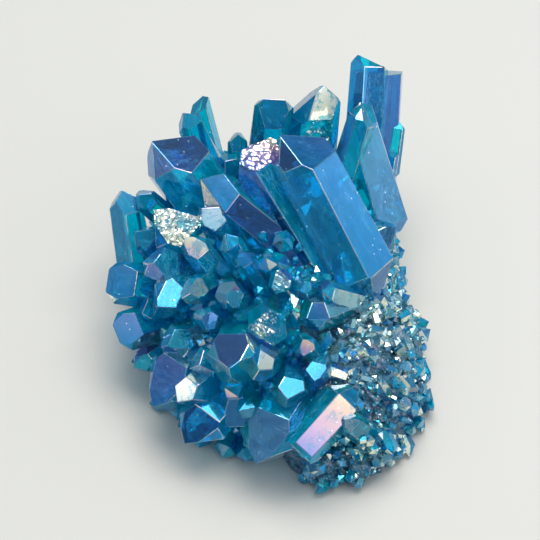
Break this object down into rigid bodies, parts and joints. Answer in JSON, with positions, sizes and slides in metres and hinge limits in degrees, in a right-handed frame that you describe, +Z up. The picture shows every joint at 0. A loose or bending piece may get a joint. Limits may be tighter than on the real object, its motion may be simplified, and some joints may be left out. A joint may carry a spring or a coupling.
{
  "type": "aura quartz cluster",
  "caption": "Clear blue quartz points with an iridescent coating, radiating from a low rock matrix that is bare and broken on one side; rests on a flat base.",
  "frame": {"origin": "middle of the bounding box at the flat underside, where the cluster rests on the table", "axes": "+Z up, +X to the right and -Y to the front as seen in the picture; the bare matrix is at the front right and the snapped tower at the back right"},
  "size_m": [0.0654, 0.0854, 0.0474],
  "materials": {
    "aura_quartz": "clear glossy blue crystal with a thin iridescent film, pale and granular on the broken matrix"
  },
  "bodies": {
    "root": {"quartz_cluster": "aura_quartz"}
  },
  "joints": []
}
